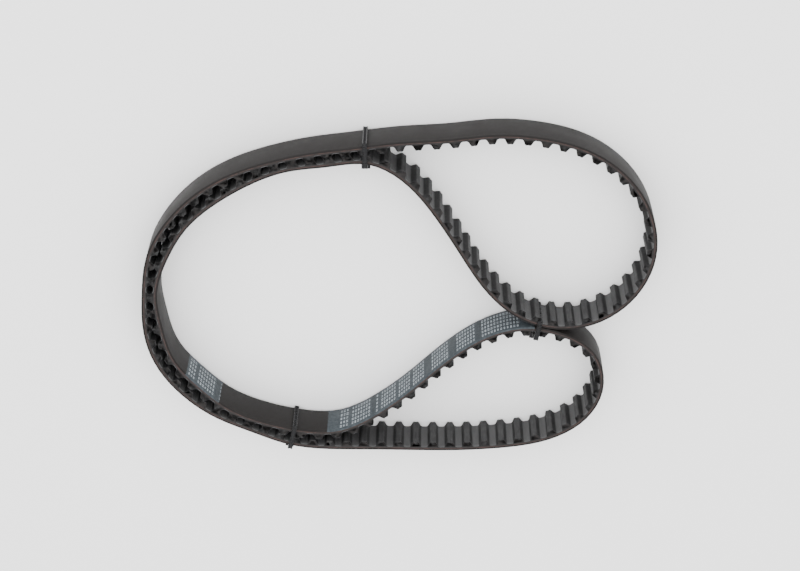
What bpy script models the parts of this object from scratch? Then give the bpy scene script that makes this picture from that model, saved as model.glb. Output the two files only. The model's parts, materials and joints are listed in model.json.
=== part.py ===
"""Endless timing belt, folded into a crescent and two lobes and held by three cable ties.

The belt stands on its side edge: its closed curve lies in the XY plane and its width runs
along Z. The origin is on the ground, under the middle of the bundle. Units are metres.
"""
import math

import bpy
import bmesh
import numpy as np
from mathutils import Matrix, Vector

MM = 0.001

# Belt section, measured from the pitch line, which runs through the cords: the back outward,
# the land between the teeth and the teeth's tips inward.
TOOTH_COUNT = 144
PITCH = 9.525 * MM
BELT_WIDTH = 22.0 * MM
BACK_HEIGHT = 1.26 * MM
LAND_DEPTH = 1.03 * MM
TIP_DEPTH = LAND_DEPTH + 3.11 * MM
TOOTH_BASE_HALF = 3.04 * MM
TOOTH_TIP_HALF = 1.39 * MM
CORD_HALF = 0.30 * MM
FACING_THICKNESS = 0.30 * MM
BOND_GAP = 0.10 * MM
FIRST_TOOTH = 6.9 * MM

# The folded belt's route, as points on its pitch line in millimetres, clockwise from above,
# and the middle of the whole bundle in the same millimetres, which becomes the origin.
UPPER_LOBE = [
    (-25.3, 89), (-1.6, 92.6), (22.9, 94.8), (46.9, 97.9), (71.3, 96.9), (94.8, 90.8),
    (115, 77.5), (128.8, 57.9), (133.5, 34.1), (126.3, 11), (109.1, -5.8), (86.1, -11.8),
    (63, -4.9), (45.1, 11.6), (31.6, 32), (18.6, 52), (2.8, 70.8),
]
INNER_CRESCENT = [
    (-17.8, 81.9), (-39.1, 80), (-60.1, 76.7), (-79.9, 68.6), (-97.7, 57.2), (-113.3, 42.7),
    (-124.2, 24), (-130.5, 3.4), (-128.5, -16.3), (-122.4, -37.2), (-109.2, -53.6),
    (-92.6, -67.7), (-73.3, -76), (-52.5, -80.5), (-31.5, -79.9), (-11, -69), (6.8, -54),
]
LOWER_LOBE = [
    (23.4, -37.5), (41.5, -22.9), (63, -13.9), (85.6, -15.7), (105.2, -28.2), (110.5, -50.3),
    (100, -70.5), (79.9, -82.2), (57.3, -86.9), (34, -89), (10.7, -89.6), (-12.7, -89.9),
    (-35.9, -90.3),
]
OUTER_CRESCENT = [
    (-58.2, -88.2), (-79.2, -80.7), (-99.4, -71.8), (-117.1, -58.3), (-130.2, -40.7),
    (-136.3, -19.9), (-136.3, 2.9), (-133.1, 24.5), (-123, 44), (-108, 60.2), (-89.2, 72.3),
    (-68.5, 80.2), (-47.8, 85.4),
]

BUNDLE_MIDDLE = (-1.54, 1.73)

# Cable ties. Each is placed by the tooth that it passes, counted along the route.
STRAP_WIDTH = 2.5 * MM
STRAP_THICKNESS = 1.1 * MM
STRAP_CLEARANCE = 0.4 * MM
STRAP_CORNER = 1.0 * MM
HEAD_WIDTH = 4.6 * MM
HEAD_HALF_LENGTH = 2.5 * MM
HEAD_RISE = 1.4 * MM
HEAD_TOP = 4.8 * MM
SLOT_WIDTH = 3.1 * MM
SLOT_CENTRE = -0.45 * MM
SLOT_BELOW = 0.85 * MM
SLOT_ABOVE = 2.1 * MM
TAIL_STUB = 1.2 * MM
PAWL_WIDTH = 2.5 * MM
PAWL_PIVOT = (1.15 * MM, 1.95 * MM)
PAWL_ROOT_RADIUS = 0.32 * MM
PAWL_LENGTH = 2.3 * MM
PAWL_THICKNESS = 0.55 * MM
PAWL_TOOTH = 0.12 * MM
BELT_BOTTOM = STRAP_THICKNESS + STRAP_CLEARANCE

TIES = {
    # The two layers begin to part at the top tie, so it has a little more slack.
    "top_tie": {"tooth": -0.15, "upper_side": BACK_HEIGHT + 0.25 * MM,
                "lower_side": BACK_HEIGHT + 0.25 * MM},
    "bottom_tie": {"tooth": 113.0, "upper_side": BACK_HEIGHT, "lower_side": BACK_HEIGHT},
    "middle_tie": {"tooth": 28.5, "upper_side": LAND_DEPTH, "lower_side": TIP_DEPTH},
}


def clear_scene():
    for obj in list(bpy.data.objects):
        bpy.data.objects.remove(obj, do_unlink=True)


def new_collection(name):
    collection = bpy.data.collections.new(name)
    bpy.context.scene.collection.children.link(collection)
    return collection


def make_material(name, colour, roughness):
    material = bpy.data.materials.new(name)
    material.use_nodes = True
    shader = material.node_tree.nodes["Principled BSDF"]
    shader.inputs["Base Color"].default_value = (*colour, 1.0)
    shader.inputs["Roughness"].default_value = roughness
    shader.inputs["Metallic"].default_value = 0.0
    return material


def plate(name, loops, thickness, material, collection):
    """A flat outline, with any holes, extruded evenly about its own XY plane."""
    curve = bpy.data.curves.new(name, "CURVE")
    curve.dimensions = "2D"
    curve.fill_mode = "BOTH"
    curve.extrude = thickness / 2
    for loop in loops:
        spline = curve.splines.new("POLY")
        spline.points.add(len(loop) - 1)
        for point, (x, y) in zip(spline.points, loop):
            point.co = (x, y, 0.0, 1.0)
        spline.use_cyclic_u = True
    outline = bpy.data.objects.new(name + "_outline", curve)
    collection.objects.link(outline)
    graph = bpy.context.evaluated_depsgraph_get()
    mesh = bpy.data.meshes.new_from_object(outline.evaluated_get(graph))
    bpy.data.objects.remove(outline, do_unlink=True)
    solid = bmesh.new()
    solid.from_mesh(mesh)
    bmesh.ops.remove_doubles(solid, verts=solid.verts, dist=0.001 * MM)
    bmesh.ops.recalc_face_normals(solid, faces=solid.faces)
    solid.to_mesh(mesh)
    solid.free()
    mesh.name = name
    mesh.materials.clear()
    mesh.materials.append(material)
    obj = bpy.data.objects.new(name, mesh)
    collection.objects.link(obj)
    return obj


class Route:
    """The pitch line: a closed cubic spline, measured along its length."""

    SAMPLES = 6000

    def __init__(self, points, length):
        knots = (np.array(points, dtype=float) - BUNDLE_MIDDLE) * MM
        after = np.roll(knots, -1, axis=0)
        gaps = np.sqrt(np.hypot(*(after - knots).T))
        bends = self.solve_bends(knots, gaps)
        line = self.sample(knots, gaps, bends)
        walked = self.walk(line)
        scale = length / walked[-1]
        self.line = line * scale
        self.walked = walked * scale
        self.length = length

    @staticmethod
    def solve_bends(knots, gaps):
        """Second derivatives that make neighbouring cubic pieces meet smoothly."""
        count = len(knots)
        matrix = np.zeros((count, count))
        target = np.zeros((count, 2))
        for i in range(count):
            before, after = gaps[i - 1], gaps[i]
            matrix[i, i - 1] += before
            matrix[i, i] += 2 * (before + after)
            matrix[i, (i + 1) % count] += after
            rise = (knots[(i + 1) % count] - knots[i]) / after
            target[i] = 6 * (rise - (knots[i] - knots[i - 1]) / before)
        return np.linalg.solve(matrix, target)

    @classmethod
    def sample(cls, knots, gaps, bends):
        starts = np.concatenate([[0.0], np.cumsum(gaps)])
        values = np.linspace(0.0, starts[-1], cls.SAMPLES + 1)
        piece = np.clip(np.searchsorted(starts, values, side="right") - 1, 0, len(knots) - 1)
        following = (piece + 1) % len(knots)
        gap = gaps[piece][:, None]
        done = (values - starts[piece])[:, None]
        left = gap - done
        cubic = (bends[piece] * left**3 + bends[following] * done**3) / (6 * gap)
        first = (knots[piece] / gap - bends[piece] * gap / 6) * left
        second = (knots[following] / gap - bends[following] * gap / 6) * done
        return cubic + first + second

    @staticmethod
    def walk(line):
        steps = np.hypot(*np.diff(line, axis=0).T)
        return np.concatenate([[0.0], np.cumsum(steps)])

    def point(self, station):
        station = station % self.length
        x = np.interp(station, self.walked, self.line[:, 0])
        y = np.interp(station, self.walked, self.line[:, 1])
        return np.array([x, y])

    def inward(self, station):
        ahead = self.point(station + 0.3 * MM) - self.point(station - 0.3 * MM)
        ahead /= np.hypot(*ahead)
        return np.array([ahead[1], -ahead[0]])

    def offset(self, station, depth):
        return self.point(station) + depth * self.inward(station)

    def nearest(self, place, start, end):
        """The station between start and end whose point is nearest to a place."""
        stations = np.linspace(start, end, 2000)
        distances = [math.dist(self.point(station), place) for station in stations]
        return stations[int(np.argmin(distances))]


def smooth_loop(route, depth):
    """A closed line at one depth, with a point at each tooth's middle and each gap's."""
    stations = FIRST_TOOTH + np.arange(2 * TOOTH_COUNT) * PITCH / 2
    return [route.offset(station, depth) for station in stations]


def tooth_corners(inset):
    """Half widths and depths of a tooth's base and tip, set in evenly from its surface."""
    rise = TIP_DEPTH - LAND_DEPTH
    run = TOOTH_BASE_HALF - TOOTH_TIP_HALF
    slant = math.hypot(rise, run)
    across, down = rise / slant, run / slant
    flank = TOOTH_BASE_HALF * across + LAND_DEPTH * down - inset
    base_depth = LAND_DEPTH - inset
    tip_depth = TIP_DEPTH - inset
    base_half = (flank - base_depth * down) / across
    tip_half = (flank - tip_depth * down) / across
    return (base_half, base_depth), (tip_half, tip_depth)


def toothed_loop(route, inset):
    """The toothed side's closed line, set in evenly from the belt's surface."""
    (base_half, base_depth), (tip_half, tip_depth) = tooth_corners(inset)
    profile = (
        (-base_half, base_depth),
        (-tip_half, tip_depth),
        (tip_half, tip_depth),
        (base_half, base_depth),
    )
    points = []
    for tooth in range(TOOTH_COUNT):
        middle = FIRST_TOOTH + tooth * PITCH
        normal = route.inward(middle)
        along = np.array([-normal[1], normal[0]])
        for shift, depth in profile:
            if depth == tip_depth:
                points.append(route.point(middle) + shift * along + depth * normal)
            else:
                points.append(route.offset(middle + shift, depth))
    return points


def build_belt(route, collection):
    """The bonded layers of the moulding, each an endless band of the full width."""
    rubber = make_material("back_rubber", (0.035, 0.033, 0.032), 0.55)
    cord = make_material("cord_bond", (0.16, 0.07, 0.045), 0.7)
    tooth_rubber = make_material("tooth_rubber", (0.03, 0.03, 0.03), 0.6)
    fabric = make_material("facing_fabric", (0.10, 0.10, 0.10), 0.8)
    layers = (
        ("backing_band", smooth_loop(route, -BACK_HEIGHT),
         smooth_loop(route, -CORD_HALF - BOND_GAP), rubber),
        ("tensile_cord_layer", smooth_loop(route, -CORD_HALF),
         smooth_loop(route, CORD_HALF), cord),
        ("tooth_band", smooth_loop(route, CORD_HALF + BOND_GAP),
         toothed_loop(route, FACING_THICKNESS + BOND_GAP), tooth_rubber),
        ("tooth_facing", toothed_loop(route, FACING_THICKNESS),
         toothed_loop(route, 0.0), fabric),
    )
    for name, outer, inner, material in layers:
        band = plate(name, (outer, inner[::-1]), BELT_WIDTH, material, collection)
        band.location.z = BELT_BOTTOM + BELT_WIDTH / 2


def arc(centre, radius, start, end, steps=4):
    angles = np.radians(np.linspace(start, end, steps + 1))
    return [np.array([centre[0] + radius * math.cos(a), centre[1] + radius * math.sin(a)])
            for a in angles]


def band_outline(path, thickness):
    """Both sides of a flat band that follows an open path."""
    path = np.array(path)
    steps = np.diff(path, axis=0)
    steps /= np.hypot(*steps.T)[:, None]
    before = np.vstack([steps[:1], steps])
    after = np.vstack([steps, steps[-1:]])
    ahead = before + after
    ahead /= np.hypot(*ahead.T)[:, None]
    spread = 1 / np.sum(ahead * after, axis=1)
    sideways = np.column_stack([-ahead[:, 1], ahead[:, 0]]) * (spread * thickness / 2)[:, None]
    return list(path + sideways) + list((path - sideways)[::-1])


def strap_path(left, right):
    """The strap's middle line, in the tie's own plane: from the head's foot, under the belt,
    over it, and out through the head's slot. The head is on the left."""
    half = STRAP_THICKNESS / 2
    middle = BELT_BOTTOM + BELT_WIDTH / 2
    low = half
    high = BELT_BOTTOM + BELT_WIDTH + STRAP_CLEARANCE + half
    west = left - half
    east = right + half
    slot = middle + SLOT_CENTRE
    r = STRAP_CORNER
    path = [np.array([west, middle - 1.8 * MM])]
    path += arc((west + r, low + r), r, 180, 270)
    path += arc((east - r, low + r), r, 270, 360)
    path += arc((east - r, high - r), r, 0, 90)
    path += arc((west + r, high - r), r, 90, 180)
    path += arc((west - r, slot + r), r, 0, -90)
    path.append(np.array([left - HEAD_TOP - TAIL_STUB, slot]))
    return path


def head_outline(left):
    middle = BELT_BOTTOM + BELT_WIDTH / 2
    bottom = middle - HEAD_HALF_LENGTH
    top = middle + HEAD_HALF_LENGTH
    foot_top = middle + SLOT_CENTRE - SLOT_BELOW
    return [
        (left - HEAD_TOP, bottom),
        (left - BOND_GAP, bottom),
        (left - BOND_GAP, foot_top),
        (left - HEAD_RISE, foot_top),
        (left - HEAD_RISE, top),
        (left - HEAD_TOP, top),
    ]


def pawl_outline():
    """The pawl's side view about its pivot: a round root and an arm that points outward,
    with three small teeth towards the strap, which is below it."""
    root = arc((0.0, 0.0), PAWL_ROOT_RADIUS, 70, -70, 6)
    back = PAWL_THICKNESS - PAWL_ROOT_RADIUS
    points = [tuple(p) for p in root]
    teeth = 3
    reach = 0.6 * PAWL_LENGTH
    step = reach / teeth
    start = PAWL_LENGTH - reach
    for tooth in range(teeth):
        x = start + tooth * step
        points.append((-x, -PAWL_ROOT_RADIUS + PAWL_TOOTH))
        points.append((-x - 0.75 * step, -PAWL_ROOT_RADIUS))
    points.append((-PAWL_LENGTH, -PAWL_ROOT_RADIUS + PAWL_TOOTH))
    points.append((-PAWL_LENGTH, back))
    return points


def tie_frame(route, tooth):
    """The tie's plane: X squarely across the two layers, Y up, Z along the belt. Also half
    the distance between the two layers' pitch lines."""
    first = FIRST_TOOTH + tooth * PITCH
    away = 8 * PITCH
    second = route.nearest(route.point(first), first + away, first + route.length - away)
    across = route.inward(first) - route.inward(second)
    across *= np.sign(across[1]) / np.hypot(*across)
    half_gap = float(np.dot(route.point(second) - route.point(first), across)) / 2
    centre = route.point(first) + half_gap * across
    x_axis = Vector((across[0], across[1], 0.0))
    y_axis = Vector((0.0, 0.0, 1.0))
    frame = Matrix((x_axis, y_axis, x_axis.cross(y_axis))).transposed().to_4x4()
    frame.translation = Vector((centre[0], centre[1], 0.0))
    return frame, abs(half_gap)


def boolean(obj, operand, operation):
    modifier = obj.modifiers.new(operation.lower(), "BOOLEAN")
    modifier.operation = operation
    modifier.solver = "EXACT"
    modifier.object = operand


def hide_operand(obj):
    obj.hide_render = True
    obj.display_type = "WIRE"


def build_tie(name, tie, route, nylon, collection, cutters):
    """A strap with its head as one moulding, and the pawl that holds the strap's tail."""
    frame, half_gap = tie_frame(route, tie["tooth"])
    left = -half_gap - tie["lower_side"] - STRAP_CLEARANCE
    right = half_gap + tie["upper_side"] + STRAP_CLEARANCE
    middle = BELT_BOTTOM + BELT_WIDTH / 2
    slot = middle + SLOT_CENTRE

    path = strap_path(left, right)
    strap = plate(name + "_strap", [band_outline(path, STRAP_THICKNESS)], STRAP_WIDTH,
                  nylon, collection)
    strap.matrix_world = frame

    head = plate(name + "_head", [head_outline(left)], HEAD_WIDTH, nylon, cutters)
    head.matrix_world = frame
    hide_operand(head)
    low, high = slot - SLOT_BELOW, slot + SLOT_ABOVE
    inside, outside = left - HEAD_RISE + MM, left - HEAD_TOP - MM
    opening = [(inside, low), (inside, high), (outside, high), (outside, low)]
    cutter = plate(name + "_slot", [opening], SLOT_WIDTH, nylon, cutters)
    cutter.matrix_world = frame
    hide_operand(cutter)
    boolean(head, cutter, "DIFFERENCE")
    boolean(strap, head, "UNION")

    pawl = plate(name + "_pawl", [pawl_outline()], PAWL_WIDTH, nylon, collection)
    rise, reach = PAWL_PIVOT
    pawl.matrix_world = frame @ Matrix.Translation((left - reach, slot + rise, 0.0))


def main():
    clear_scene()
    collection = new_collection("timing_belt")
    cutters = new_collection("cutters")
    points = UPPER_LOBE + INNER_CRESCENT + LOWER_LOBE + OUTER_CRESCENT
    route = Route(points, TOOTH_COUNT * PITCH)
    build_belt(route, collection)
    nylon = make_material("black_nylon", (0.012, 0.012, 0.013), 0.3)
    for name, tie in TIES.items():
        build_tie(name, tie, route, nylon, collection, cutters)


main()
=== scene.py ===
import json
import math
import bmesh
import bpy
import numpy as np
from mathutils import Matrix, Vector


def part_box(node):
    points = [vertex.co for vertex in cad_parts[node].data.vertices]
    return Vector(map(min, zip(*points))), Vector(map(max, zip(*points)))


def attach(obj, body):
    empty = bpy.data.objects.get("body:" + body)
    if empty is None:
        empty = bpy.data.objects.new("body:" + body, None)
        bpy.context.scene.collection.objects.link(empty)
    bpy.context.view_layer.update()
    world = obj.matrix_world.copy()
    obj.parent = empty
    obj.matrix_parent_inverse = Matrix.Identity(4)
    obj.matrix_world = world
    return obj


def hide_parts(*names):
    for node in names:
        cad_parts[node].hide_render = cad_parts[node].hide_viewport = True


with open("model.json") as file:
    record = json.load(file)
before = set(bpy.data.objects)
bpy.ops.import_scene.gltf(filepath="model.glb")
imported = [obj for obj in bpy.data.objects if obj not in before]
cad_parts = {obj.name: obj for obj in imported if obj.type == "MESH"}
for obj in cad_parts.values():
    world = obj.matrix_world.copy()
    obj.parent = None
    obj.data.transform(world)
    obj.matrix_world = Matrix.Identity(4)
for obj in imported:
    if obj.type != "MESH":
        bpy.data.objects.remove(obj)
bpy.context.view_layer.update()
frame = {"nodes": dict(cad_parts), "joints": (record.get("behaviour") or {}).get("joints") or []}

MM = 0.001

# The belt, in the straight: X along it, Y from the toothed side to the back, Z across it.
PITCH = 9.525 * MM
TOOTH_COUNT = 144
BELT_WIDTH = 22.0 * MM
BELT_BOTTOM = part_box("backing_band")[0].z
BACK = 1.26 * MM
CORD_HALF = 0.30 * MM
LAND = 1.03 * MM
TOOTH_HEIGHT = 3.11 * MM
FACING = 0.30 * MM
ROOT_HALF = 3.04 * MM
TIP_HALF = 1.39 * MM
CORD_PROUD = 0.05 * MM
FABRIC_GAP = 0.02 * MM
KNOTS_PER_PITCH = 4

# The cable ties.
STRAP_WIDTH = 2.5 * MM
STRAP_THICKNESS = 1.1 * MM
STRAP_CORNER = 1.0 * MM
PAWL_REACH = 1.15 * MM
PAWL_RISE = 1.95 * MM
HEAD_WIDTH = 4.6 * MM
HEAD_HALF_LENGTH = 2.5 * MM
HEAD_FOOT = 0.1 * MM
HEAD_RISE = 1.4 * MM
HEAD_TOP = 4.8 * MM
SLOT_BELOW = 0.85 * MM
SLOT_ABOVE = 2.1 * MM
SLOT_WIDTH = 3.1 * MM
TAIL_STUB = 1.2 * MM
RIB_STEP = 0.9 * MM
RIB_PEAK = 0.62 * RIB_STEP
RIB_RISE = 0.24 * MM
TRACK_HALF = 0.62 * MM
TRACK_DEPTH = 0.34 * MM


# ---------------------------------------------------------------- hand tools

def deselect_all():
    if bpy.context.object and bpy.context.object.mode != "OBJECT":
        bpy.ops.object.mode_set(mode="OBJECT")
    bpy.ops.object.select_all(action="DESELECT")


def pick(obj):
    deselect_all()
    obj.select_set(True)
    bpy.context.view_layer.objects.active = obj


def block(name, low, high):
    """A plain block between two corners, to be shaped."""
    deselect_all()
    low, high = Vector(low), Vector(high)
    bpy.ops.mesh.primitive_cube_add(size=1.0, location=(low + high) / 2)
    obj = bpy.context.object
    obj.scale = high - low
    bpy.ops.object.transform_apply(location=True, rotation=True, scale=True)
    obj.name = name
    obj.data.name = name
    return obj


def edit(obj, kind="FACE"):
    pick(obj)
    bpy.ops.object.mode_set(mode="EDIT")
    bpy.ops.mesh.select_mode(type=kind)
    bpy.ops.mesh.select_all(action="DESELECT")


def done():
    bpy.ops.object.mode_set(mode="OBJECT")


def select_faces(obj, test):
    mesh = bmesh.from_edit_mesh(obj.data)
    for face in mesh.faces:
        face.select_set(bool(test(face.calc_center_median(), face.normal)))
    mesh.select_flush_mode()
    bmesh.update_edit_mesh(obj.data)


def select_edges(obj, test):
    mesh = bmesh.from_edit_mesh(obj.data)
    for edge in mesh.edges:
        a, b = (v.co for v in edge.verts)
        edge.select_set(bool(test((a + b) / 2, (b - a).normalized())))
    mesh.select_flush_mode()
    bmesh.update_edit_mesh(obj.data)


def cut(obj, point, normal, test=None):
    """A straight cut through the whole piece, or through the faces that pass the test. The
    piece is left in edit mode."""
    edit(obj)
    if test is None:
        bpy.ops.mesh.select_all(action="SELECT")
    else:
        select_faces(obj, test)
    bpy.ops.mesh.bisect(plane_co=point, plane_no=normal)
    bpy.ops.mesh.select_all(action="DESELECT")


def round_edges(obj, width, segments, test):
    edit(obj, "EDGE")
    select_edges(obj, test)
    bpy.ops.mesh.bevel(offset=width, segments=segments, affect="EDGES", clamp_overlap=True)
    done()


def open_ends(obj, length):
    """Takes off the two end faces, so that copies of the piece join in one skin."""
    edit(obj)
    select_faces(obj, lambda c, n: c.x < 1e-6 or c.x > length - 1e-6)
    bpy.ops.mesh.delete(type="FACE")
    done()


def smooth(obj, angle):
    pick(obj)
    bpy.ops.object.shade_smooth_by_angle(angle=math.radians(angle))


def finish_modifiers(obj):
    pick(obj)
    for modifier in list(obj.modifiers):
        bpy.ops.object.modifier_apply(modifier=modifier.name)


def wear(obj, material, body, stands_for):
    obj.data.materials.clear()
    obj.data.materials.append(material)
    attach(obj, body)
    for node in stands_for:
        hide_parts(node)


# ---------------------------------------------------------------- the belt's route

def rim_loops(obj, height):
    """The closed rims of a band at one height, each as points in order."""
    mesh = bmesh.new()
    mesh.from_mesh(obj.data)
    bmesh.ops.remove_doubles(mesh, verts=mesh.verts, dist=1e-6)
    follow = {}
    for edge in mesh.edges:
        level = all(abs(v.co.z - height) < 1e-5 for v in edge.verts)
        wall = any(abs(f.normal.z) < 0.5 for f in edge.link_faces)
        if level and wall:
            a, b = edge.verts
            follow.setdefault(a.index, []).append(b.index)
            follow.setdefault(b.index, []).append(a.index)
    places = {v.index: np.array(v.co.xy) for v in mesh.verts}
    mesh.free()
    loops = []
    left = set(follow)
    while left:
        first = min(left)
        walk = [first]
        left.discard(first)
        while True:
            ahead = [i for i in follow[walk[-1]] if i in left]
            if not ahead:
                break
            walk.append(ahead[0])
            left.discard(ahead[0])
        loops.append(np.array([places[i] for i in walk]))
    return loops


def around(loop):
    return float(np.sum(np.hypot(*(np.roll(loop, -1, axis=0) - loop).T)))


def signed_area(loop):
    x, y = loop.T
    return 0.5 * float(np.sum(x * np.roll(y, -1) - y * np.roll(x, -1)))


def pitch_line():
    """The belt's pitch line, midway between the cord layer's two rims. It runs clockwise,
    so the toothed side is on its right, and starts in the gap just before the top tie."""
    cord = frame["nodes"]["tensile_cord_layer"]
    outer, inner = sorted(rim_loops(cord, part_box("tensile_cord_layer")[1].z), key=around)[::-1]
    apart = np.linalg.norm(outer[:, None] - inner[None], axis=2)
    line = (outer + inner[np.argmin(apart, axis=1)]) / 2
    if signed_area(line) > 0:
        line = line[::-1]
    closed = np.vstack([line, line[:1]])
    walked = np.concatenate([[0.0], np.cumsum(np.hypot(*np.diff(closed, axis=0).T))])
    pitch = walked[-1] / TOOTH_COUNT

    facing = frame["nodes"]["tooth_facing"]
    corners = np.unique(np.array([v.co.xy for v in facing.data.vertices]).round(6), axis=0)
    apart = np.linalg.norm(line[:, None] - corners[None], axis=2)
    tips = np.min(apart, axis=0) > LAND + 0.9 * TOOTH_HEIGHT
    turns = walked[np.argmin(apart, axis=0)][tips] * (2 * math.pi / pitch)
    tooth = math.atan2(np.mean(np.sin(turns)), np.mean(np.cos(turns))) * pitch / (2 * math.pi)
    gap = tooth + pitch / 2

    tie = np.array(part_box("top_tie_strap")[1].xy)
    at_tie = walked[np.argmin(np.linalg.norm(line - tie, axis=1))]
    start = at_tie - (at_tie - gap) % pitch
    knots = np.arange(KNOTS_PER_PITCH * TOOTH_COUNT)
    steps = (start + knots * pitch / KNOTS_PER_PITCH) % walked[-1]
    return np.stack([np.interp(steps, walked, closed[:, k]) for k in (0, 1)], axis=1)


def make_curve(name, points, closed):
    """A flat curve through the points, in the XY plane."""
    data = bpy.data.curves.new(name, "CURVE")
    data.dimensions = "2D"
    data.fill_mode = "NONE"
    data.use_stretch = True
    data.use_deform_bounds = True
    spline = data.splines.new("BEZIER" if closed else "POLY")
    if closed:
        spline.bezier_points.add(len(points) - 1)
        for knot, point in zip(spline.bezier_points, points):
            knot.co = (point[0], point[1], 0.0)
            knot.handle_left_type = "AUTO"
            knot.handle_right_type = "AUTO"
        spline.resolution_u = 8
    else:
        spline.points.add(len(points) - 1)
        for knot, point in zip(spline.points, points):
            knot.co = (point[0], point[1], 0.0, 1.0)
    spline.use_cyclic_u = closed
    obj = bpy.data.objects.new(name, data)
    bpy.context.scene.collection.objects.link(obj)
    return obj


def lay_along(obj, curve, step, count, shift):
    """Repeats one length of the piece and lays the row along a curve."""
    array = obj.modifiers.new("Repeat", "ARRAY")
    array.count = count
    array.use_relative_offset = False
    array.use_constant_offset = True
    array.constant_offset_displace = (step, 0.0, 0.0)
    array.use_merge_vertices = True
    array.merge_threshold = 0.01 * MM
    array.offset_u = shift
    bend = obj.modifiers.new("Follow", "CURVE")
    bend.object = curve
    bend.deform_axis = "POS_X"
    finish_modifiers(obj)


def close_seam(obj):
    edit(obj, "VERT")
    bpy.ops.mesh.select_all(action="SELECT")
    bpy.ops.mesh.remove_doubles(threshold=0.03 * MM)
    done()


# ---------------------------------------------------------------- one pitch of each layer

def run_map(obj, outline=None):
    """A map in which U counts pitches along the belt and V goes from 0 to 1 across it. With
    an outline, U follows the surface up and down the tooth."""
    layer = obj.data.uv_layers.new(name="belt_run")
    if outline is not None:
        outline = np.array(sorted(outline))
        walked = np.concatenate([[0.0], np.cumsum(np.hypot(*np.diff(outline, axis=0).T))])
        walked /= walked[-1]
    for loop in obj.data.loops:
        place = obj.data.vertices[loop.vertex_index].co
        along = place.x / PITCH
        if outline is not None:
            along = float(np.interp(place.x, outline[:, 0], walked))
        layer.data[loop.index].uv = (along, place.z / BELT_WIDTH)


def raise_tooth(obj, floor, height, dent):
    """Pulls a tooth out of the face at the floor level, tapers it and dents its crest."""
    middle = PITCH / 2
    for x in (middle - ROOT_HALF, middle + ROOT_HALF):
        cut(obj, (x, 0, 0), (1, 0, 0))
        done()
    edit(obj)
    select_faces(obj, lambda c, n: abs(c.y - floor) < 1e-6 and abs(c.x - middle) < MM)
    bpy.ops.mesh.extrude_region_move(TRANSFORM_OT_translate={"value": (0, -height, 0)})
    crest = (middle, floor - height, BELT_WIDTH / 2)
    bpy.ops.transform.resize(value=(TIP_HALF / ROOT_HALF, 1, 1), center_override=crest)
    done()
    is_crest = lambda c, n: abs(c.y - floor + height) < 1e-6
    cut(obj, (middle, 0, 0), (1, 0, 0), is_crest)
    select_edges(obj, lambda c, d: is_crest(c, d) and abs(c.x - middle) < 1e-6)
    bpy.ops.transform.translate(value=(0, dent, 0))
    done()


def side_to_side(direction):
    """True for an edge that runs straight across the belt."""
    return abs(direction.z) > 0.99


def make_facing():
    """The fabric on one tooth and its lands, with its round roots and crests."""
    deselect_all()
    bpy.ops.mesh.primitive_plane_add(
        size=1.0, location=(PITCH / 2, -LAND, BELT_WIDTH / 2), rotation=(math.pi / 2, 0, 0))
    obj = bpy.context.object
    obj.name = "facing_fabric"
    obj.scale = (PITCH, BELT_WIDTH, 1.0)
    bpy.ops.object.transform_apply(location=True, rotation=True, scale=True)
    raise_tooth(obj, -LAND, TOOTH_HEIGHT, 0.26 * MM)
    low = -LAND - TOOTH_HEIGHT + 0.05 * MM
    round_edges(obj, 0.62 * MM, 3, lambda c, d: side_to_side(d) and c.y < low
                and abs(c.x - PITCH / 2) > MM)
    round_edges(obj, 0.75 * MM, 3, lambda c, d: side_to_side(d) and abs(c.y + LAND) < 1e-6
                and abs(abs(c.x - PITCH / 2) - ROOT_HALF) < 1e-5)
    outline = {(round(v.co.x, 7), round(v.co.y, 7)) for v in obj.data.vertices}
    thicken = obj.modifiers.new("Thickness", "SOLIDIFY")
    thicken.thickness = FACING
    thicken.offset = -1.0
    thicken.use_rim = True
    finish_modifiers(obj)
    open_ends(obj, PITCH)
    run_map(obj, outline)
    return obj


def make_tooth_rubber():
    """The rubber of one tooth, between the fabric and the cords."""
    inner = -LAND + FACING + FABRIC_GAP
    obj = block("tooth_rubber", (0, inner, 0), (PITCH, -CORD_HALF, BELT_WIDTH))
    raise_tooth(obj, inner, TOOTH_HEIGHT - FABRIC_GAP, 0.2 * MM)
    edit(obj, "EDGE")
    crest = inner - TOOTH_HEIGHT + 0.1 * MM
    select_faces(obj, lambda c, n: c.y < crest)
    bpy.ops.transform.resize(value=(0.86, 1, 1), center_override=(PITCH / 2, 0, 0))
    done()
    round_edges(obj, 0.45 * MM, 2, lambda c, d: side_to_side(d) and c.y < crest
                and abs(c.x - PITCH / 2) > 0.5 * MM)
    open_ends(obj, PITCH)
    run_map(obj)
    return obj


def make_backing():
    """One pitch of the rubber back, its outer edges slightly broken."""
    obj = block("rubber_back", (0, CORD_HALF, 0), (PITCH, BACK, BELT_WIDTH))
    round_edges(obj, 0.16 * MM, 2, lambda c, d: abs(d.x) > 0.99 and c.y > BACK - 1e-6)
    for x in (1 / 4, 1 / 2, 3 / 4):
        cut(obj, (x * PITCH, 0, 0), (1, 0, 0))
        done()
    open_ends(obj, PITCH)
    run_map(obj)
    return obj


def make_cords():
    """One pitch of the cord layer, which stands a hair proud of the cut sides."""
    obj = block("cord_layer", (0, -CORD_HALF, -CORD_PROUD),
                (PITCH, CORD_HALF, BELT_WIDTH + CORD_PROUD))
    round_edges(obj, 0.14 * MM, 2, lambda c, d: abs(d.x) > 0.99)
    for x in (1 / 4, 1 / 2, 3 / 4):
        cut(obj, (x * PITCH, 0, 0), (1, 0, 0))
        done()
    open_ends(obj, PITCH)
    run_map(obj)
    return obj


# ---------------------------------------------------------------- finishes

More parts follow.
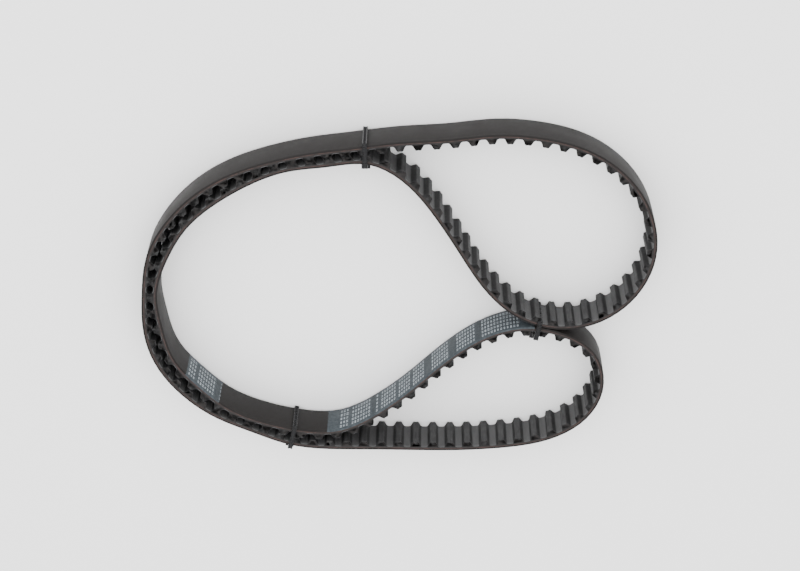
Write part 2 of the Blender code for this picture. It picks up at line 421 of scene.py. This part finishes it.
class Finish:
    """A material and the few node moves that the finishes below share."""

    def __init__(self, name, colour, roughness, level=0.5):
        self.material = bpy.data.materials.new(name)
        self.material.use_nodes = True
        self.tree = self.material.node_tree
        self.shader = self.tree.nodes["Principled BSDF"]
        self.shader.inputs["Base Color"].default_value = (*colour, 1.0)
        self.shader.inputs["Roughness"].default_value = roughness
        self.shader.inputs["Specular IOR Level"].default_value = level
        self.places = self.tree.nodes.new("ShaderNodeTexCoord")

    def link(self, a, b):
        self.tree.links.new(a, b)

    def feed(self, value, socket):
        if isinstance(value, bpy.types.NodeSocket):
            self.link(value, socket)
        else:
            socket.default_value = value

    def math(self, operation, a, b=0.0, c=0.0, clamp=False):
        node = self.tree.nodes.new("ShaderNodeMath")
        node.operation = operation
        node.use_clamp = clamp
        for value, socket in zip((a, b, c), node.inputs):
            self.feed(value, socket)
        return node.outputs[0]

    def run(self):
        """U, in pitches along the belt, and V, from 0 to 1 across it."""
        node = self.tree.nodes.new("ShaderNodeUVMap")
        node.uv_map = "belt_run"
        split = self.tree.nodes.new("ShaderNodeSeparateXYZ")
        self.link(node.outputs[0], split.inputs[0])
        return split.outputs[0], split.outputs[1]

    def vector(self, x, y, z=0.0):
        node = self.tree.nodes.new("ShaderNodeCombineXYZ")
        for value, socket in zip((x, y, z), node.inputs):
            self.feed(value, socket)
        return node.outputs[0]

    def noise(self, scale, detail=3.0, vector=None, rough=0.5):
        node = self.tree.nodes.new("ShaderNodeTexNoise")
        node.inputs["Scale"].default_value = scale
        node.inputs["Detail"].default_value = detail
        node.inputs["Roughness"].default_value = rough
        self.link(self.places.outputs["Object"] if vector is None else vector,
                  node.inputs["Vector"])
        return node.outputs["Fac"]

    def white(self, vector):
        node = self.tree.nodes.new("ShaderNodeTexWhiteNoise")
        self.link(vector, node.inputs["Vector"])
        return node.outputs["Value"]

    def spread(self, value, low, high, to_low, to_high):
        node = self.tree.nodes.new("ShaderNodeMapRange")
        self.feed(value, node.inputs["Value"])
        for number, name in zip((low, high, to_low, to_high),
                                ("From Min", "From Max", "To Min", "To Max")):
            self.feed(number, node.inputs[name])
        return node.outputs["Result"]

    def mix(self, factor, a, b):
        node = self.tree.nodes.new("ShaderNodeMix")
        node.data_type = "RGBA"
        self.feed(factor, node.inputs[0])
        for value, socket in ((a, node.inputs[6]), (b, node.inputs[7])):
            if isinstance(value, tuple):
                value = (*value, 1.0)
            self.feed(value, socket)
        return node.outputs[2]

    def steps(self, value, stops):
        node = self.tree.nodes.new("ShaderNodeValToRGB")
        ramp = node.color_ramp
        ramp.interpolation = "CONSTANT"
        while len(ramp.elements) < len(stops):
            ramp.elements.new(1.0)
        for element, (place, level) in zip(ramp.elements, stops):
            element.position = place
            element.color = (level, level, level, 1.0)
        self.link(value, node.inputs[0])
        return node.outputs[0]

    def between(self, value, low, high):
        return self.math("MULTIPLY", self.math("GREATER_THAN", value, low),
                         self.math("LESS_THAN", value, high))

    def colour(self, value):
        self.link(value, self.shader.inputs["Base Color"])

    def roughness(self, value):
        self.link(value, self.shader.inputs["Roughness"])

    def bump(self, height, distance, strength=1.0):
        node = self.tree.nodes.new("ShaderNodeBump")
        node.inputs["Distance"].default_value = distance
        node.inputs["Strength"].default_value = strength
        self.link(height, node.inputs["Height"])
        self.link(node.outputs[0], self.shader.inputs["Normal"])


# The printing on the back: cells of marks along the belt, with plain bars between blocks.
# Each print gives where its ground starts, where its marks start and where its ground ends,
# along the belt. Each step gives a first cell and 1 for marks, 0.5 for a bar or 0 for none.
PRINT_CELL = 1.765 * MM
LONG_PRINT = (0.7048, 0.7118, 0.8380)
SHORT_PRINT = (0.6163, 0.6174, 0.6411)
PRINT_CELLS = 70.0
PRINT_ROW = 0.18
PRINT_EDGES = (0.06, 0.95)
HATCH_STEP = 0.9 * MM
PRINT_STEPS = [(0, 1), (3, 0), (4, 1), (11, .5), (13, 1), (14, 0), (15, 1), (21, 0), (22, 1),
               (27, 0), (28, 1), (33, .5), (36, 1), (43, .5), (46, 1), (53, .5), (55, 1), (67, 0)]


def printed_rubber():
    """The ground back of the belt: fine grain, cross grinding marks, and the pale print."""
    f = Finish("ground_rubber_back", (0.012, 0.011, 0.0105), 0.6, 0.11)
    u, v = f.run()
    along = f.math("MULTIPLY", u, PITCH)

    cloud = f.noise(60.0, 4.0)
    grain = f.noise(2600.0, 2.0)
    ground = f.noise(1.0, 3.0, f.vector(f.math("MULTIPLY", u, 34.0), f.math("MULTIPLY", v, 5.0)))
    rubber = f.mix(f.spread(cloud, 0.35, 0.65, 0.0, 1.0), (0.0060, 0.0050, 0.0047),
                   (0.0105, 0.0092, 0.0088))
    rubber = f.mix(f.spread(grain, 0.3, 0.75, 0.0, 0.30), rubber, (0.020, 0.018, 0.0175))
    rubber = f.mix(f.spread(ground, 0.45, 0.8, 0.0, 0.25), rubber, (0.024, 0.022, 0.021))

    from_long = f.math("DIVIDE", f.math("SUBTRACT", along, LONG_PRINT[1]), PRINT_CELL)
    from_short = f.math("DIVIDE", f.math("SUBTRACT", along, SHORT_PRINT[1]), PRINT_CELL)
    fray = f.math("MULTIPLY", f.math("SUBTRACT", f.noise(900.0, 2.0), 0.5), 0.0009)
    edge = f.math("ADD", along, fray)
    on_long = f.between(edge, LONG_PRINT[0], LONG_PRINT[2])
    on_short = f.between(edge, SHORT_PRINT[0], SHORT_PRINT[2])
    printed = f.math("ADD", on_long, on_short, clamp=True)

    cell = f.math("ADD", f.math("MULTIPLY", from_long, on_long),
                  f.math("MULTIPLY", from_short, on_short))
    layout = f.steps(f.math("DIVIDE", cell, PRINT_CELLS),
                     [(place / PRINT_CELLS, level) for place, level in PRINT_STEPS])
    started = f.math("GREATER_THAN", cell, 0.0)
    marks = f.math("MULTIPLY", f.math("GREATER_THAN", layout, 0.75), started)
    bars = f.math("MULTIPLY", f.between(layout, 0.3, 0.75), started)

    row = f.math("DIVIDE", f.math("SUBTRACT", v, PRINT_EDGES[0]), PRINT_ROW)
    inside = f.between(v, *PRINT_EDGES)
    spot = f.vector(f.math("FLOOR", cell), f.math("FLOOR", row), on_short)
    chance = f.white(spot)
    other = f.white(f.vector(f.math("FLOOR", row), f.math("FLOOR", cell), 7.0))
    x = f.math("ABSOLUTE", f.math("SUBTRACT", f.math("FRACT", cell), 0.5))
    y = f.math("ABSOLUTE", f.math("SUBTRACT", f.math("FRACT", row), 0.5))
    wide = f.spread(chance, 0.0, 1.0, 0.22, 0.36)
    tall = f.spread(other, 0.0, 1.0, 0.24, 0.34)
    dash = f.math("MULTIPLY", f.math("LESS_THAN", x, wide), f.math("LESS_THAN", y, tall))
    slit = f.math("MULTIPLY", f.math("LESS_THAN", y, 0.07), f.math("GREATER_THAN", chance, 0.45))
    dash = f.math("SUBTRACT", dash, slit, clamp=True)
    dash = f.math("MULTIPLY", f.math("MULTIPLY", dash, inside), marks)
    dash = f.math("MULTIPLY", dash, f.spread(f.noise(1500.0, 2.0), 0.3, 0.6, 0.55, 1.0))
    hatch = f.math("MULTIPLY", bars, f.math("GREATER_THAN", f.math("FRACT", f.math(
        "MULTIPLY", along, 1 / HATCH_STEP)), 0.5))

    wash = f.mix(f.spread(f.noise(700.0, 3.0), 0.3, 0.7, 0.0, 1.0), (0.026, 0.032, 0.037),
                 (0.050, 0.060, 0.067))
    wash = f.mix(f.math("MULTIPLY", hatch, 0.55), wash, (0.018, 0.021, 0.023))
    ink = f.mix(dash, wash, (0.27, 0.30, 0.325))
    f.colour(f.mix(f.math("MULTIPLY", printed, 0.94), rubber, ink))
    f.roughness(f.spread(cloud, 0.3, 0.7, 0.50, 0.64))
    height = f.math("ADD", f.math("MULTIPLY", grain, 0.6), f.math("MULTIPLY", ground, 0.8))
    height = f.math("ADD", height, f.math("MULTIPLY", dash, 0.5))
    f.bump(height, 0.05 * MM, 0.7)
    return f.material


def cut_rubber():
    """The sides of the teeth, as the belt was slit: dark, with fine marks along the cut."""
    f = Finish("slit_rubber", (0.010, 0.009, 0.009), 0.65, 0.25)
    u, v = f.run()
    scratch = f.noise(1.0, 3.0, f.vector(f.math("MULTIPLY", u, 3.0), f.math("MULTIPLY", v, 4.0),
                                         f.noise(500.0)))
    grain = f.noise(3000.0, 3.0)
    base = f.mix(f.spread(scratch, 0.35, 0.65, 0.0, 1.0), (0.0070, 0.0060, 0.0058),
                 (0.0130, 0.0110, 0.0105))
    f.colour(f.mix(f.spread(grain, 0.4, 0.75, 0.0, 0.3), base, (0.026, 0.023, 0.022)))
    f.roughness(f.spread(grain, 0.3, 0.7, 0.52, 0.72))
    f.bump(f.math("ADD", grain, scratch), 0.05 * MM, 0.6)
    return f.material


def cord_brown():
    """The slit cords: red-brown fibre that comes and goes in the dark rubber."""
    f = Finish("treated_cord", (0.024, 0.014, 0.012), 0.65, 0.25)
    u, v = f.run()
    strand = f.noise(1.0, 4.0, f.vector(f.math("MULTIPLY", u, 2.6), f.math("MULTIPLY", v, 90.0),
                                        f.noise(300.0)), 0.6)
    twist = f.noise(1.0, 2.0, f.vector(f.math("MULTIPLY", u, 16.0), 0.0, f.noise(1200.0)))
    fibre = f.mix(f.spread(twist, 0.3, 0.7, 0.0, 1.0), (0.022, 0.0115, 0.0100),
                  (0.048, 0.027, 0.0235))
    f.colour(f.mix(f.spread(strand, 0.40, 0.62, 0.0, 0.85), fibre, (0.0105, 0.0080, 0.0075)))
    f.roughness(f.spread(twist, 0.3, 0.7, 0.5, 0.75))
    f.bump(twist, 0.06 * MM, 0.8)
    return f.material


# The fabric's threads in a pitch and across the belt, and, in pitches from the middle of a
# tooth, where its flank lies, darkened both by rubber showing through and by painted shade,
# and where the pale land begins.
WARP_THREADS = 33.0
WEFT_THREADS = 56.0
FLANK = (0.11, 0.36)
LAND_EDGE = (0.34, 0.40)


def woven_facing():
    """The fabric on the teeth: a fine twill, paler on the lands, darker on the flanks from rubber
    showing through plus painted shade.
    """
    f = Finish("woven_facing", (0.04, 0.04, 0.041), 0.75, 0.2)
    u, v = f.run()
    warp = f.math("MULTIPLY", u, WARP_THREADS)
    weft = f.math("MULTIPLY", v, WEFT_THREADS)
    order = f.math("ADD", f.math("FLOOR", warp), f.math("FLOOR", weft))
    over = f.math("GREATER_THAN", f.math("MODULO", order, 3.0), 0.5)
    warp_round = f.math("ABSOLUTE", f.math("SINE", f.math("MULTIPLY", warp, math.pi)))
    weft_round = f.math("ABSOLUTE", f.math("SINE", f.math("MULTIPLY", weft, math.pi)))
    thread = f.math("ADD", f.math("MULTIPLY", warp_round, over),
                    f.math("MULTIPLY", weft_round, f.math("SUBTRACT", 1.0, over)))
    slub = f.noise(1.0, 3.0, f.vector(warp, f.math("MULTIPLY", v, 4.0)))
    cloud = f.noise(160.0, 3.0)
    fray = f.noise(2200.0, 2.0)

    place = f.math("ABSOLUTE", f.math("SUBTRACT", f.math("FRACT", u), 0.5))
    flank_rubber_and_shade = f.between(place, *FLANK)
    land = f.spread(place, *LAND_EDGE, 0.0, 1.0)
    cloth = f.mix(f.spread(cloud, 0.35, 0.65, 0.0, 1.0), (0.0200, 0.0200, 0.0205),
                  (0.0320, 0.0320, 0.0325))
    cloth = f.mix(f.math("MULTIPLY", land, 0.8), cloth, (0.0820, 0.0820, 0.0830))
    cloth = f.mix(f.spread(slub, 0.5, 0.8, 0.0, 0.4), cloth, (0.085, 0.085, 0.087))
    # Painted shade: the flanks are darkened partly for rubber showing through the fabric and
    # partly as painted occlusion shade between the teeth.
    cloth = f.mix(f.math("MULTIPLY", flank_rubber_and_shade, 0.75), cloth, (0.0055, 0.0055, 0.0057))
    cloth = f.mix(f.spread(thread, 0.0, 0.7, 0.5, 0.0), cloth, (0.006, 0.006, 0.006))
    f.colour(f.mix(f.spread(fray, 0.6, 0.8, 0.0, 0.3), cloth, (0.10, 0.10, 0.102)))
    f.roughness(f.spread(thread, 0.0, 1.0, 0.85, 0.6))
    f.bump(f.math("ADD", thread, f.math("MULTIPLY", fray, 0.3)), 0.07 * MM, 0.8)
    return f.material


def black_nylon():
    f = Finish("black_nylon", (0.003, 0.003, 0.0035), 0.28, 0.16)
    cloud = f.noise(500.0, 3.0)
    grain = f.noise(4000.0, 2.0)
    f.colour(f.mix(f.spread(cloud, 0.35, 0.7, 0.0, 1.0), (0.0035, 0.0035, 0.0040),
                   (0.0075, 0.0075, 0.0085)))
    f.roughness(f.spread(cloud, 0.3, 0.7, 0.22, 0.36))
    f.bump(grain, 0.01 * MM, 0.5)
    return f.material


# ---------------------------------------------------------------- the cable ties

def tie_place(name):
    """A tie's own axes: X squarely across the layers, Y up, Z along the belt, from the pawl's
    pivot. Also where the strap's inner faces and the slot's middle are on X and Y."""
    joints = {joint["name"]: joint for joint in frame["joints"]}
    along = Vector(joints[name + "_slide"]["axis"]).normalized()
    pivot = Vector(joints[name + "_pawl_hinge"]["pos_m"])
    up = Vector((0, 0, 1))
    across = up.cross(along)
    place = Matrix((across, up, along)).transposed().to_4x4()
    place.translation = Vector((pivot.x, pivot.y, 0.0))
    back = place.inverted()
    node = frame["nodes"][name + "_strap"]
    reach = max((back @ v.co).x for v in node.data.vertices)
    return place, PAWL_REACH, reach - STRAP_THICKNESS, pivot.z - PAWL_RISE


def corner(x, y, start, stop):
    turns = np.radians(np.linspace(start, stop, 7))
    return [(x + STRAP_CORNER * math.cos(a), y + STRAP_CORNER * math.sin(a)) for a in turns]


def strap_route(left, right, slot):
    half = STRAP_THICKNESS / 2
    r = STRAP_CORNER
    low = half
    high = 2 * BELT_BOTTOM + BELT_WIDTH - half
    west = left - half
    east = right + half
    route = [(west, BELT_BOTTOM + BELT_WIDTH / 2 - 1.8 * MM)]
    route += corner(west + r, low + r, 180, 270)
    route += corner(east - r, low + r, 270, 360)
    route += corner(east - r, high - r, 0, 90)
    route += corner(west + r, high - r, 90, 180)
    route += corner(west - r, slot + r, 0, -90)
    route.append((left - HEAD_TOP - TAIL_STUB, slot))
    return route


def length_of(route):
    route = np.array(route)
    return float(np.sum(np.hypot(*np.diff(route, axis=0).T)))


def make_strap_step():
    """One rib's length of strap: two rails, and between them a track with a sloping rib."""
    half = STRAP_THICKNESS / 2
    side = STRAP_WIDTH / 2
    obj = block("strap_step", (0, -half, -side), (RIB_STEP, half, side))
    round_edges(obj, 0.14 * MM, 2, lambda c, d: abs(d.x) > 0.99)
    for z in (-TRACK_HALF, TRACK_HALF):
        cut(obj, (0, 0, z), (0, 0, 1))
        done()
    edit(obj)
    track = lambda c, n: n.y < -0.9 and abs(c.z) < 0.5 * MM
    select_faces(obj, track)
    bpy.ops.mesh.extrude_region_move(TRANSFORM_OT_translate={"value": (0, TRACK_DEPTH, 0)})
    done()
    cut(obj, (RIB_PEAK, 0, 0), (1, 0, 0), track)
    select_edges(obj, lambda c, d: abs(c.x - RIB_PEAK) < 1e-6 and c.y < 0
                 and abs(c.z) < 0.5 * MM and abs(d.z) > 0.9)
    bpy.ops.transform.translate(value=(0, -RIB_RISE, 0))
    done()
    open_ends(obj, RIB_STEP)
    return obj


def make_strap(name, place, route):
    obj = make_strap_step()
    obj.name = name
    curve = make_curve(name + "_line", route, False)
    count = round(length_of(route) / RIB_STEP)
    lay_along(obj, curve, RIB_STEP, count, 0.0)
    bpy.data.objects.remove(curve)
    edit(obj, "EDGE")
    bpy.ops.mesh.select_non_manifold(extend=False, use_wire=False, use_multi_face=False,
                                     use_non_contiguous=False, use_verts=False)
    bpy.ops.mesh.fill()
    done()
    put(obj, place)
    smooth(obj, 35)
    return obj


def put(obj, place):
    pick(obj)
    obj.matrix_world = place
    bpy.ops.object.transform_apply(location=True, rotation=True, scale=True)


def make_head(name, place, left, slot):
    """The head: a rounded box on the strap's root, with a mouth for the tail and the pawl."""
    middle = BELT_BOTTOM + BELT_WIDTH / 2
    side = HEAD_WIDTH / 2
    obj = block(name, (left - HEAD_TOP, middle - HEAD_HALF_LENGTH, -side),
                (left - HEAD_RISE, middle + HEAD_HALF_LENGTH, side))
    foot_top = slot - SLOT_BELOW
    cut(obj, (0, foot_top, 0), (0, 1, 0))
    done()
    edit(obj)
    select_faces(obj, lambda c, n: n.x > 0.9 and c.y < foot_top)
    bpy.ops.mesh.extrude_region_move(
        TRANSFORM_OT_translate={"value": (HEAD_RISE - HEAD_FOOT, 0, 0)})
    done()
    round_edges(obj, 0.45 * MM, 3, lambda c, d: c.x < left - HEAD_TOP + 1e-5 or abs(d.x) > 0.99
                and abs(c.z) > side - 1e-5 and abs(c.y - foot_top) > 1e-5)
    mouth = block(name + "_mouth", (left - HEAD_TOP - MM, slot - SLOT_BELOW, -SLOT_WIDTH / 2),
                  (left - HEAD_RISE + MM, slot + SLOT_ABOVE, SLOT_WIDTH / 2))
    edit(mouth)
    select_faces(mouth, lambda c, n: n.x < -0.9)
    flare = (left - HEAD_TOP - MM, slot + (SLOT_ABOVE - SLOT_BELOW) / 2, 0)
    bpy.ops.transform.resize(value=(1, 1.12, 1.12), center_override=flare)
    done()
    carve = obj.modifiers.new("Mouth", "BOOLEAN")
    carve.operation = "DIFFERENCE"
    carve.solver = "EXACT"
    carve.object = mouth
    finish_modifiers(obj)
    bpy.data.objects.remove(mouth)
    soften = obj.modifiers.new("Soften", "BEVEL")
    soften.width = 0.12 * MM
    soften.segments = 2
    soften.limit_method = "ANGLE"
    soften.angle_limit = math.radians(50)
    finish_modifiers(obj)
    put(obj, place)
    smooth(obj, 35)
    return obj


# ---------------------------------------------------------------- the whole

def make_belt():
    route = make_curve("belt_route", pitch_line(), True)
    layers = (
        (make_backing(), printed_rubber(), "backing_band"),
        (make_cords(), cord_brown(), "tensile_cord_layer"),
        (make_tooth_rubber(), cut_rubber(), "tooth_band"),
        (make_facing(), woven_facing(), "tooth_facing"),
    )
    for obj, finish, node in layers:
        lay_along(obj, route, PITCH, TOOTH_COUNT, 1.0)
        close_seam(obj)
        put(obj, Matrix.Translation((0, 0, BELT_BOTTOM)))
        smooth(obj, 35)
        wear(obj, finish, "belt", [node])
    bpy.data.objects.remove(route)


def make_ties():
    nylon = black_nylon()
    for name in ("top_tie", "bottom_tie", "middle_tie"):
        place, left, right, slot = tie_place(name)
        strap = make_strap(name + "_ribbed_strap", place, strap_route(left, right, slot))
        head = make_head(name + "_head", place, left, slot)
        wear(strap, nylon, name, [name + "_strap"])
        wear(head, nylon, name, [name + "_strap"])
        pawl = frame["nodes"][name + "_pawl"]
        pawl.data.materials.clear()
        pawl.data.materials.append(nylon)


def make_floor():
    deselect_all()
    bpy.ops.mesh.primitive_plane_add(size=6.0, location=(0, 0, -0.0002))
    floor = bpy.context.object
    floor.name = "floor"
    f = Finish("pale_floor", (0.93, 0.93, 0.93), 0.9, 0.2)
    f.colour(f.mix(f.noise(3.0), (0.92, 0.92, 0.92), (0.94, 0.94, 0.94)))
    floor.data.materials.append(f.material)


def make_light():
    """A white surround with a soft light overhead and another at the side."""
    world = bpy.data.worlds.new("studio")
    world.use_nodes = True
    world.node_tree.nodes["Background"].inputs["Color"].default_value = (1.0, 1.0, 1.0, 1.0)
    world.node_tree.nodes["Background"].inputs["Strength"].default_value = 2.4
    bpy.context.scene.world = world
    for name, place, power, size in (("overhead_softbox", (0.1, 0.5, 1.6), 16.0, 1.6),
                                     ("side_softbox", (-1.2, 0.6, 0.9), 6.0, 1.0)):
        lamp = bpy.data.lights.new(name, "AREA")
        lamp.energy = power
        lamp.size = size
        obj = bpy.data.objects.new(name, lamp)
        bpy.context.scene.collection.objects.link(obj)
        obj.location = place
        obj.rotation_euler = (-Vector(place)).to_track_quat("-Z", "Y").to_euler()


CAMERA_AIM = (0.00154, -0.00173, 0.0015)
CAMERA_DISTANCE = 1.14205
CAMERA_LENS = 94.7
CAMERA_TILT = math.radians(27.164)
CAMERA_ROLL = math.radians(1.382)


def make_camera():
    """The camera looks down at the belt from beyond its top run, turned upside down."""
    data = bpy.data.cameras.new("camera")
    data.sensor_width = 36.0
    data.lens = CAMERA_LENS
    data.clip_start = 0.05
    camera = bpy.data.objects.new("camera", data)
    bpy.context.scene.collection.objects.link(camera)
    right = Vector((1, 0, 0))
    up = Vector((0, math.cos(CAMERA_TILT), -math.sin(CAMERA_TILT)))
    back = Vector((0, math.sin(CAMERA_TILT), math.cos(CAMERA_TILT)))
    turned_right = math.cos(CAMERA_ROLL) * right + math.sin(CAMERA_ROLL) * up
    turned_up = math.cos(CAMERA_ROLL) * up - math.sin(CAMERA_ROLL) * right
    aim = Matrix((turned_right, turned_up, back)).transposed().to_4x4()
    aim.translation = Vector(CAMERA_AIM) + CAMERA_DISTANCE * back
    camera.matrix_world = aim
    bpy.context.scene.camera = camera


make_camera()
make_light()
make_floor()
make_belt()
make_ties()
deselect_all()
